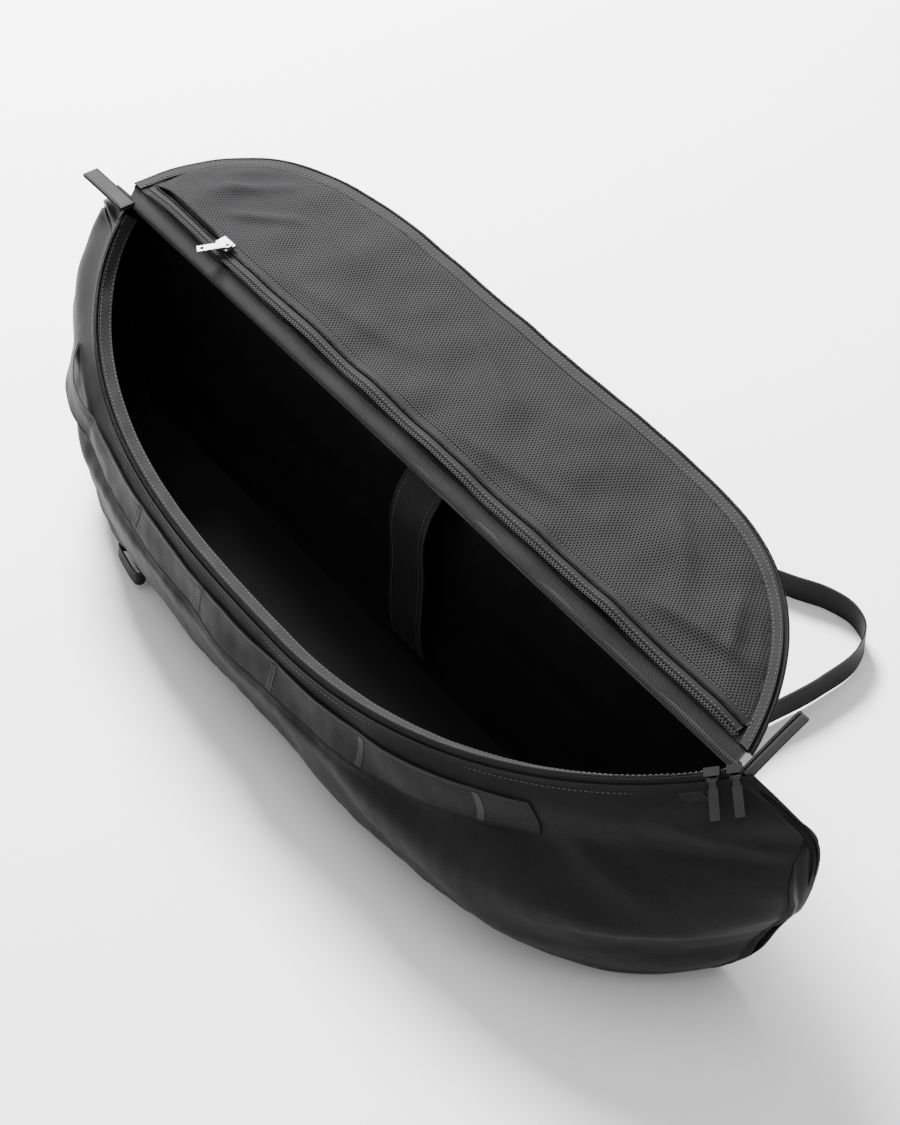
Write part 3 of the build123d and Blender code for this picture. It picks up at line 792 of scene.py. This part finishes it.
def hex_net(name, x0, x1, r0, reach, pitch, row, body, nodes):
    """A net of small six-sided holes: each cell is a ring of six quads round an open hole."""
    cols, rows = int((x1 - x0) / pitch), int((LID_FAR - r0) / row)
    i, j = np.meshgrid(np.arange(cols), np.arange(rows), indexing="ij")
    cx = x0 + (i + 0.5 * (j % 2)) * pitch + 0.25 * pitch
    cr = r0 + (j + 0.6) * row
    keep = (cr < reach(cx) - 0.5) & (cx < x1)
    cx, cr = cx[keep], cr[keep]
    ang = np.radians([30, 90, 150, 210, 270, 330])
    big = np.stack([np.cos(ang) / cos(pi / 6) * pitch / 2, np.sin(ang) * row * 2 / 3], -1)
    hole = big * np.array([0.56, 0.60])
    cell_x = np.concatenate([cx[:, None] + big[None, :, 0], cx[:, None] + hole[None, :, 0]], 1)
    cell_r = np.concatenate([cr[:, None] + big[None, :, 1], cr[:, None] + hole[None, :, 1]], 1)
    verts = net_point(cell_x.ravel(), cell_r.ravel())
    k = np.arange(len(cx))[:, None] * 12
    q = np.arange(6)[None]
    f = np.stack([k + q, k + (q + 1) % 6, k + 6 + (q + 1) % 6, k + 6 + q], -1).reshape(-1, 4)
    uv = np.stack([cell_x.ravel(), cell_r.ravel()], -1)
    return new_object(name, verts, f, NET, uvs=uv, body=body, nodes=nodes, slot="mesh_net", smooth=True)


hex_net("pocket_net", -371, 352, 30.5, lambda x: lid_reach(x, 12.2), 3.0, 2.05, "lid", ["mesh_pocket_panel"])
hex_net("pocket_net_low", -371, 352, 13.0, lambda x: 0 * x + 18.5, 3.0, 2.05, "lid", ["mesh_lower_strip"])

ZX = np.linspace(ZIP_X0, ZIP_X1, 420)


def tape_grid(low, high, rows):
    t = np.linspace(0, 1, rows)[None, :]
    lo, hi = low(ZX)[:, None], high(ZX)[:, None]
    gr = lo + (hi - lo) * t
    return net_point(np.tile(ZX[:, None], (1, rows)), gr, 0.5)


gape = np.clip((SLIDER_X - 4 - ZX) / 20, 0, 1) * np.clip((ZX - ZIP_X0) / 16, 0, 1)
low_edge = lambda x: ZIP_R - 0.9 - 0.8 * gape
high_edge = lambda x: ZIP_R + 0.9 + 3.4 * gape
for name, a, b, node in (
    ("pocket_tape_low_cloth", lambda x: 17.4 + 0 * x, low_edge, "pocket_tape_lower"),
    ("pocket_tape_high_cloth", high_edge, lambda x: 31.4 + 0 * x, "pocket_tape_upper"),
):
    g = tape_grid(a, b, 6)
    cloth(name, g, 0.7, TAPE, inward=1.0, slot="zip_tape", body="lid", nodes=[node])
    gn = normals(g)
    row = 1 if node == "pocket_tape_lower" else 4
    v, f = stitches(g[3:-3, row], gn[3:-3, row], 2.3, 3.7, 0.28, 0.15)
    new_object(name.replace("cloth", "stitch"), v, f, STITCH, slot="thread", body="lid")
cx = np.linspace(SLIDER_X + 7, ZIP_X1 - 1, 500)
v, f = coil_mesh(net_point(cx, ZIP_R + 0 * cx, 1.0), 1.15, 1.6, 0.4, LID_N)
new_object("pocket_coil", v, f, COIL, slot="zip_coil", body="lid", nodes=["pocket_zip_coil"])
open_x = np.linspace(ZIP_X0 + 6, SLIDER_X - 6, 120)
halves = []
for side in (-1, 1):
    open_gape = np.interp(open_x, ZX, gape)
    edge = ZIP_R + side * 0.9 + open_gape * (3.4 if side > 0 else -0.8)
    halves.append(coil_mesh(net_point(open_x, edge, 0.8), 0.7, 1.6, 0.35, LID_N))
v, f = joined(halves)
new_object("pocket_coil_open", v, f, COIL, slot="zip_coil", body="lid")

# ------------------------------------------------------------ hinge cloth between wall and lid
HX = np.linspace(-377, 366, 520)
sink = np.interp(HX, [-377, -120, 80, 366], [6.0, 5.0, 3.0, 0.5])
rows = []
WALL_Y, WALL_Z = 72.8, 206.0  # sewn edge on the wall
LID_Y, LID_Z = AXIS_Y + 13.6, 215.6  # sewn edge on the lid
for k in range(12):
    a = k / 11
    x = HX + np.interp(HX, [-377, 0, 366], [-11.0, 0.0, -1.0]) * a
    y = WALL_Y + (LID_Y - WALL_Y) * a - sink * 0.5 * np.sin(pi * min(1, a * 1.25))
    z = WALL_Z + (LID_Z - WALL_Z) * a**0.8 - sink * 0.22 * sin(pi * a)
    z = z + 0.5 * wobble(HX, 0 * HX + 9 * a, 60, 91)
    rows.append(np.column_stack([x, y, z]))
hinge = np.stack(rows, 1)
hinge_v, hinge_f, hinge_uv = sheet_mesh(hinge, 1.0, -1.0)
hinge_ob = new_object(
    "hinge_cloth",
    hinge_v,
    hinge_f,
    GROSGRAIN,
    body=None,
    uvs=hinge_uv,
    nodes=["hinge_binding"],
    slot="grosgrain",
)
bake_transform(hinge_ob)
hn = normals(hinge)
line = hinge[3:-3, 10]
v, f = stitches(line, hn[3:-3, 10], 2.4, 3.8, 0.32, 0.2)
new_object("hinge_stitch_top", v, f, STITCH, slot="thread", body="lid")
v, f = stitches(hinge[3:-3, 1], hn[3:-3, 1], 2.4, 3.8, 0.32, 0.2)
new_object("hinge_stitch_low", v, f, STITCH, slot="thread")
WALL_MID = 75.4
TOP_SECTION = ((3.2, 203.5), (3.4, 207.0), (2.6, 210.2), (0.4, 210.9), (-2.6, 209.2), (-3.2, 205.0))
rows = [np.column_stack([HX, WALL_MID + 0 * HX + dy, np.full(520, z)]) for dy, z in TOP_SECTION]
wall_top = np.stack(rows, 1)
cloth("back_top_cloth", wall_top, 0.8, GROSGRAIN, inward=-1.0, slot="grosgrain", nodes=["back_top_binding"])

# ------------------------------------------------------------ zip garage, left of the right zip end
gs = np.linspace(0.89, 0.925, 14)
rows = []
for a in np.linspace(0, 1, 8):
    rows.append(mouth_curve(gs, 13.0 - 5.6 * a, (31 - 22 * a, 8.5 - 4.8 * a), -1.5 + 0.3 * a)[0])
garage = np.stack(rows, 1)
cloth("garage_cloth", garage, 0.9, SMOOTH, slot="smooth_cloth", nodes=["zip_garage"])

# ------------------------------------------------------------ metal parts keep their CAD form
for node, mat in (
    ("pocket_slider", SILVER),
    ("pocket_puller", SILVER),
    ("main_slider_a", BLACK_METAL),
    ("main_slider_b", BLACK_METAL),
    ("main_pull_a", BLACK_METAL),
    ("main_pull_b", BLACK_METAL),
):
    ob = bpy.data.objects.get(node)
    if ob is None:
        raise SystemExit("no CAD object " + node)
    for k in range(max(1, len(ob.material_slots))):
        if len(ob.material_slots) == 0:
            ob.data.materials.append(mat)
        ob.material_slots[k].material = mat

# ------------------------------------------------------------ room, light and camera
def plain(name, color, rough):
    m = bpy.data.materials.new(name)
    m.use_nodes = True
    b = m.node_tree.nodes["Principled BSDF"]
    b.inputs["Base Color"].default_value = (*color, 1)
    b.inputs["Roughness"].default_value = rough
    return m


FLOOR = plain("studio_floor", (0.88, 0.88, 0.885), 0.75)
bpy.ops.mesh.primitive_plane_add(size=14, location=(0, 0, 0))
ground = bpy.context.object
ground.name = "studio_ground"
ground.data.materials.append(FLOOR)


def area(name, place, target, size, power_w):
    lamp = bpy.data.lights.new(name, "AREA")
    lamp.energy = power_w
    lamp.size = size
    ob = bpy.data.objects.new(name, lamp)
    ob.location = place
    ob.rotation_euler = (Vector(target) - Vector(place)).to_track_quat("-Z", "Y").to_euler()
    bpy.context.scene.collection.objects.link(ob)


area("key_light", (-2.1, 0.85, 2.05), (0, 0, 0.1), 1.0, 520)
area("top_light", (0.3, -0.2, 3.2), (0, 0, 0), 2.6, 45)
world = bpy.data.worlds.new("studio")
bpy.context.scene.world = world
world.use_nodes = True
world.node_tree.nodes["Background"].inputs["Color"].default_value = (1, 1, 1, 1)
world.node_tree.nodes["Background"].inputs["Strength"].default_value = 0.8

cam = bpy.data.cameras.new("camera")
CAMERA_AT = (1.1856, -0.7634, 1.5528)
cam.sensor_fit, cam.sensor_height, cam.lens = "VERTICAL", 36.0, 86.9
cam_ob = bpy.data.objects.new("camera", cam)
A, E = radians(53.52), radians(45.0)
back = Vector((sin(A) * cos(E), -cos(A) * cos(E), sin(E)))
right = Vector((cos(A), sin(A), 0))
up = back.cross(right)
turn = [(right[k], up[k], back[k], CAMERA_AT[k]) for k in range(3)]
cam_ob.matrix_world = Matrix((*turn, (0, 0, 0, 1)))
bpy.context.scene.collection.objects.link(cam_ob)
bpy.context.scene.camera = cam_ob
